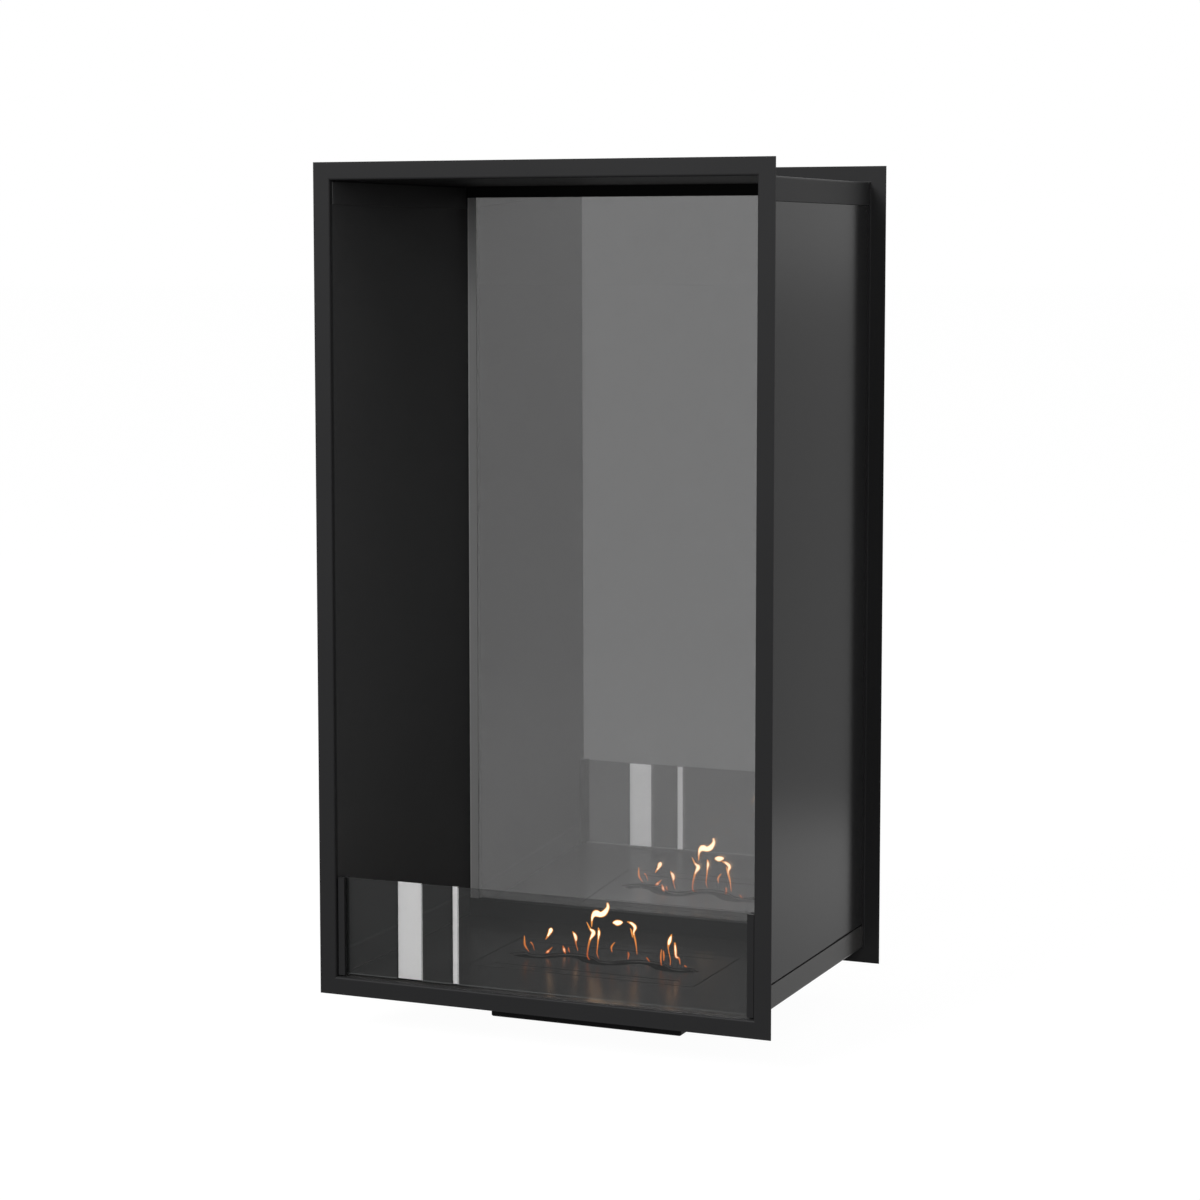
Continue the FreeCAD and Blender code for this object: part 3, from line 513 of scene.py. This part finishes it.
def flame_tree():
    """Node tree that sweeps a closed skin along the middle lines, except where they are too thin."""
    tree = bpy.data.node_groups.new("flame_skin", "GeometryNodeTree")
    tree.interface.new_socket("Lines", in_out="INPUT", socket_type="NodeSocketGeometry")
    for name in ("Shrink", "Least half width", "Flatness"):
        tree.interface.new_socket(name, in_out="INPUT", socket_type="NodeSocketFloat")
    tree.interface.new_socket("Sides", in_out="INPUT", socket_type="NodeSocketInt")
    tree.interface.new_socket("Material", in_out="INPUT", socket_type="NodeSocketMaterial")
    tree.interface.new_socket("Skin", in_out="OUTPUT", socket_type="NodeSocketGeometry")
    enter = tree.nodes.new("NodeGroupInput")
    given = {socket.name: Sock(tree, socket) for socket in enter.outputs if socket.name}
    lines = given["Lines"]
    half = lines.node("GeometryNodeInputNamedAttribute", {"Name": "half"}, "Attribute", data_type="FLOAT")
    depth = lines.node("GeometryNodeInputNamedAttribute", {"Name": "depth"}, "Attribute", data_type="FLOAT")
    width = half - given["Shrink"]
    thin = width.below(given["Least half width"])
    kept = lines.node("GeometryNodeDeleteGeometry", {"Geometry": lines, "Selection": thin}, domain="POINT")
    curve = lines.node("GeometryNodeMeshToCurve", {"Mesh": kept})
    ring = lines.node("GeometryNodeCurvePrimitiveCircle", {"Resolution": given["Sides"], "Radius": 1.0})
    skin = lines.node("GeometryNodeCurveToMesh", {
        "Curve": curve, "Profile Curve": ring, "Scale": width, "Fill Caps": True})
    place = lines.node("GeometryNodeInputPosition")
    x, y, z = (place.node("ShaderNodeSeparateXYZ", {0: place}, i) for i in range(3))
    flat = lines.node("ShaderNodeCombineXYZ", {0: x, 1: depth + (y - depth) * given["Flatness"], 2: z})
    pressed = lines.node("GeometryNodeSetPosition", {"Geometry": skin, "Position": flat})
    smooth = lines.node("GeometryNodeSetShadeSmooth", {"Geometry": pressed})
    real = lines.node("GeometryNodeRealizeInstances", {"Geometry": smooth})
    done = lines.node("GeometryNodeSetMaterial", {"Geometry": real, "Material": given["Material"]})
    leave = tree.nodes.new("NodeGroupOutput")
    tree.links.new(done.socket, leave.inputs["Skin"])
    return tree


def grown_mesh(name, lines, tree, values):
    """Plain mesh of what the tree makes of the lines with the given named values."""
    holder = new_object(name + "_lines", lines)
    modifier = holder.modifiers.new("skin", "NODES")
    modifier.node_group = tree
    for item in tree.interface.items_tree:
        if item.name in values:
            modifier[item.identifier] = values[item.name]
    mesh = bpy.data.meshes.new_from_object(holder.evaluated_get(bpy.context.evaluated_depsgraph_get()))
    mesh.name = name
    holder.modifiers.remove(modifier)
    bpy.data.objects.remove(holder)
    return mesh


class FIREPLACE_OT_box(bpy.types.Operator):
    """Coats the frames, sheets, holders, rails and ledge"""
    bl_idname = "fireplace.box"
    bl_label = "Dress box"

    def execute(self, context):
        colours = context.scene.fireplace_colours
        dress(COATED, powder_coat("powder_black", tuple(colours.coat), **SATIN))
        low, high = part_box("side_panel_right")
        side_black = side_sheet(
            "side_black", tuple(colours.heat_paint), tuple(colours.side_coat), (low[0] + high[0]) / 2)
        dress(("side_panel_left", "side_panel_right"), side_black)
        # The ledge's very dark coat is painted shade in the groove under the burner plate
        dress(("burner_ledge",), powder_coat("ledge_shade_black", tuple(colours.ledge_painted_shade), **PAINTED_SHADE_MATT))
        dress(("floor_pan",), powder_coat("floor_black", tuple(colours.floor_coat), **GLOSSY))
        return {"FINISHED"}


class FIREPLACE_OT_burner(bpy.types.Operator):
    """Coats the burner plate and tank, and gives shutter, guides and grid their steel"""
    bl_idname = "fireplace.burner"
    bl_label = "Dress burner"

    def execute(self, context):
        colours = context.scene.fireplace_colours
        dress(("burner_plate",), powder_coat("burner_black", tuple(colours.floor_coat), **GLOSSY))
        dress(("burner_tank",), powder_coat("tank_black", tuple(colours.coat), **SATIN))
        dress(BRUSHED, brushed_steel("burner_steel", tuple(colours.steel)))
        return {"FINISHED"}


class FIREPLACE_OT_small(bpy.types.Operator):
    """Gives screws, nuts, seals, blocks and pads their materials"""
    bl_idname = "fireplace.small"
    bl_label = "Dress small pieces"

    def execute(self, context):
        dress(BLACKENED, dark_screw("screw_black"))
        dress(("rim_nuts",), zinc("zinc_steel"))
        dress(SEALS, rubber("seal_rubber"))
        return {"FINISHED"}


class FIREPLACE_OT_glass(bpy.types.Operator):
    """Gives the two panes and the bands their materials"""
    bl_idname = "fireplace.glass"
    bl_label = "Dress glass"

    def execute(self, context):
        sizes = context.scene.fireplace_sizes
        colours = context.scene.fireplace_colours
        mirror = tall_glass("grey_glass", sizes.border_width, sizes.border_rim, sizes.film_lean)
        dress(("rear_glass",), mirror)
        dress(("front_glass",), low_glass("clear_glass"))
        dress(("glass_band_wide", "glass_band_narrow"), pale_band("pale_band", tuple(colours.band)))
        return {"FINISHED"}


class FIREPLACE_OT_wick(bpy.types.Operator):
    """Makes the fibrous wick pad in the tank"""
    bl_idname = "fireplace.wick"
    bl_label = "Make wick"

    def execute(self, context):
        sizes = context.scene.fireplace_sizes
        low, high = (Vector(corner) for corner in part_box("wick_pad"))
        middle = (low + high) / 2
        half = (high - low) / 2
        bm = bmesh.new()
        bmesh.ops.create_cube(bm, size=2.0)
        bmesh.ops.subdivide_edges(bm, edges=bm.edges, cuts=23, use_grid_fill=True)
        for vert in bm.verts:
            corner = vert.co.copy()
            vert.co = Vector((corner.x * half.x, corner.y * half.y, corner.z * half.z)) + middle
            tuck = sizes.wick_tuck + sizes.wick_fluff * (noise.noise(vert.co * 90.0) + 0.5)
            inward = Vector((corner.x ** 15, corner.y ** 15, corner.z ** 15))
            vert.co -= inward * tuck
        mesh = bpy.data.meshes.new("wick_wool")
        bm.to_mesh(mesh)
        bm.free()
        for face in mesh.polygons:
            face.use_smooth = True
        piece = new_object("wick_wool", mesh, wool("ceramic_wool"))
        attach(piece, "burner")
        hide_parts("wick_pad")
        return {"FINISHED"}


class FIREPLACE_OT_flames(bpy.types.Operator):
    """Makes the flames that stand over the wavy slot"""
    bl_idname = "fireplace.flames"
    bl_label = "Make flames"

    def execute(self, context):
        sizes = context.scene.fireplace_sizes
        colours = context.scene.fireplace_colours
        core = flame("flame_core", tuple(colours.core_foot), tuple(colours.core), strength=6.0, cover=1.0)
        veil = flame("flame_veil", tuple(colours.veil_foot), tuple(colours.veil), strength=2.2, cover=0.55)
        looks = (
            ("flame_cores", sizes.core_shrink, CORE_LEAST, core),
            ("flame_veils", sizes.veil_shrink, VEIL_LEAST, veil),
        )
        lines = flame_lines()
        tree = flame_tree()
        for name, shrink, least, material in looks:
            mesh = grown_mesh(name, lines, tree, {
                "Shrink": shrink, "Least half width": least, "Flatness": sizes.flame_flatness,
                "Sides": FLAME_SIDES, "Material": material})
            piece = new_object(name, mesh)
            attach(piece, "burner")
            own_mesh(piece)
        bpy.data.meshes.remove(lines)
        return {"FINISHED"}


class FIREPLACE_OT_stage(bpy.types.Operator):
    """Sets the camera, the pale floor, the studio light and the world"""
    bl_idname = "fireplace.stage"
    bl_label = "Set stage"

    def execute(self, context):
        scene = context.scene
        sizes = scene.fireplace_sizes
        scene.view_settings.view_transform = "Standard"
        data = bpy.data.cameras.new("studio_camera")
        data.lens = sizes.lens
        data.sensor_width = 36.0
        data.shift_y = sizes.shift
        data.clip_end = 100.0
        camera = bpy.data.objects.new("studio_camera", data)
        camera.location = sizes.place
        camera.rotation_euler = (math.pi / 2 - sizes.pitch, 0.0, sizes.yaw)
        scene.collection.objects.link(camera)
        scene.camera = camera
        make_world(scene)
        make_floor(sizes.floor_reach)
        make_card(sizes.card_start, sizes.card_distance, sizes.card_reach, sizes.card_glow)
        for name, (place, width, power) in LAMPS.items():
            make_lamp(name, place, width, power)
        return {"FINISHED"}


def seen_directly(tree):
    """1 for rays from the camera, mirrors and clear glass, 0 for soft light."""
    path = tree.nodes.new("ShaderNodeLightPath")
    total = None
    for name in ("Is Camera Ray", "Is Glossy Ray", "Is Transmission Ray"):
        ray = Sock(tree, path.outputs[name])
        total = ray if total is None else total.math("MAXIMUM", total, ray)
    return total


def make_world(scene):
    world = bpy.data.worlds.new("studio")
    scene.world = world
    world.use_nodes = True
    tree = world.node_tree
    back = tree.nodes["Background"]
    back.inputs["Color"].default_value = (1, 1, 1, 1)
    direct = seen_directly(tree)
    soft = 0.55
    tree.links.new((soft + direct * (1.0 - soft)).socket, back.inputs["Strength"])


def pool_of_light(tree):
    """Painted light of the floor in mirrors: a painted pool of light in a ring round the object, painted
    shade inside it, and a dimmer floor far off.
    """
    start, full, fade, end = 0.4, 1.2, 1.3, 2.05
    place = Sock(tree, tree.nodes.new("ShaderNodeTexCoord").outputs["Object"])
    away = place.node("ShaderNodeVectorMath", {0: place}, 1, operation="LENGTH")
    ease = {"interpolation_type": "SMOOTHSTEP"}
    rise = away.node("ShaderNodeMapRange", {"Value": away, "From Min": start, "From Max": full}, **ease)
    fall = away.node("ShaderNodeMapRange", {"Value": away, "From Min": end, "From Max": fade}, **ease)
    return 0.5 + (0.5 * rise + 0.5) * fall * 0.5


def make_floor(reach):
    """White floor that keeps a soft shadow; in mirrors it shows a painted pool of light round the object.
    """
    floor_glow, glow_share = 1.03, 0.94
    mesh = bpy.data.meshes.new("studio_floor")
    mesh.from_pydata([(-reach, -reach, 0), (reach, -reach, 0), (reach, reach, 0), (-reach, reach, 0)], [],
                     [(0, 1, 2, 3)])
    material = bpy.data.materials.new("studio_floor")
    material.use_nodes = True
    tree = material.node_tree
    shader = tree.nodes["Principled BSDF"]
    shader.inputs["Base Color"].default_value = (0.86, 0.86, 0.86, 1)
    shader.inputs["Roughness"].default_value = 0.9
    shader.inputs["Specular IOR Level"].default_value = 0.0
    glow = tree.nodes.new("ShaderNodeEmission")
    mixer = tree.nodes.new("ShaderNodeMixShader")
    glow.inputs["Strength"].default_value = floor_glow
    glossy = Sock(tree, tree.nodes.new("ShaderNodeLightPath").outputs["Is Glossy Ray"])
    # Only mirrors see the painted pool of light and its painted shade; to everything else the glow is even
    # white
    tree.links.new(glossy.mix((1.0, 1.0, 1.0), pool_of_light(tree)).socket, glow.inputs["Color"])
    share = seen_directly(tree) * glow_share
    tree.links.new(share.socket, mixer.inputs[0])
    tree.links.new(shader.outputs[0], mixer.inputs[1])
    tree.links.new(glow.outputs[0], mixer.inputs[2])
    tree.links.new(mixer.outputs[0], tree.nodes["Material Output"].inputs["Surface"])
    floor = new_object("studio_floor", mesh, material)


def make_card(near, distance, reach, glow):
    """Grey cards on the floor and behind the camera, which the tall glass mirrors."""
    lift = 0.002
    mesh = bpy.data.meshes.new("grey_card")
    mesh.from_pydata(
        [(-reach, -near, lift), (reach, -near, lift),
         (reach, -distance, lift), (-reach, -distance, lift),
         (reach, -distance, reach), (-reach, -distance, reach)], [], [(3, 2, 1, 0), (3, 5, 4, 2)])
    material = bpy.data.materials.new("grey_card")
    material.use_nodes = True
    shader = material.node_tree.nodes["Principled BSDF"]
    shader.inputs["Base Color"].default_value = (0.0, 0.0, 0.0, 1)
    shader.inputs["Specular IOR Level"].default_value = 0.0
    shader.inputs["Emission Color"].default_value = (1, 1, 1, 1)
    shader.inputs["Emission Strength"].default_value = glow
    card = new_object("grey_card", mesh, material)
    card.visible_camera = False
    card.visible_shadow = False


def make_lamp(name, place, width, power):
    lamp = bpy.data.lights.new(name, "AREA")
    lamp.shape = "SQUARE"
    lamp.size = width
    lamp.energy = power
    holder = bpy.data.objects.new(name, lamp)
    holder.location = place
    holder.rotation_euler = (Vector(LAMP_AIM) - Vector(place)).to_track_quat("-Z", "Y").to_euler()
    bpy.context.scene.collection.objects.link(holder)


class FIREPLACE_PT_panel(bpy.types.Panel):
    """Sizes, colours and steps of the fireplace"""
    bl_idname = "FIREPLACE_PT_panel"
    bl_label = "Fireplace"
    bl_space_type = "VIEW_3D"
    bl_region_type = "UI"
    bl_category = "Fireplace"

    def draw(self, context):
        for group in (context.scene.fireplace_sizes, context.scene.fireplace_colours):
            box = self.layout.box()
            for key in group.__annotations__:
                box.prop(group, key)
        for step in STEPS:
            self.layout.operator("fireplace." + step)


STEPS = ("stage", "box", "burner", "small", "glass", "wick", "flames")
CLASSES = (
    FireplaceSizes, FireplaceColours, FIREPLACE_OT_stage, FIREPLACE_OT_box, FIREPLACE_OT_burner,
    FIREPLACE_OT_small, FIREPLACE_OT_glass, FIREPLACE_OT_wick, FIREPLACE_OT_flames, FIREPLACE_PT_panel,
)


def register():
    for item in CLASSES:
        bpy.utils.register_class(item)
    bpy.types.Scene.fireplace_sizes = PointerProperty(type=FireplaceSizes)
    bpy.types.Scene.fireplace_colours = PointerProperty(type=FireplaceColours)


def unregister():
    del bpy.types.Scene.fireplace_colours
    del bpy.types.Scene.fireplace_sizes
    for item in reversed(CLASSES):
        bpy.utils.unregister_class(item)


def main():
    register()
    for step in STEPS:
        getattr(bpy.ops.fireplace, step)()


if __name__ == "__main__":
    main()
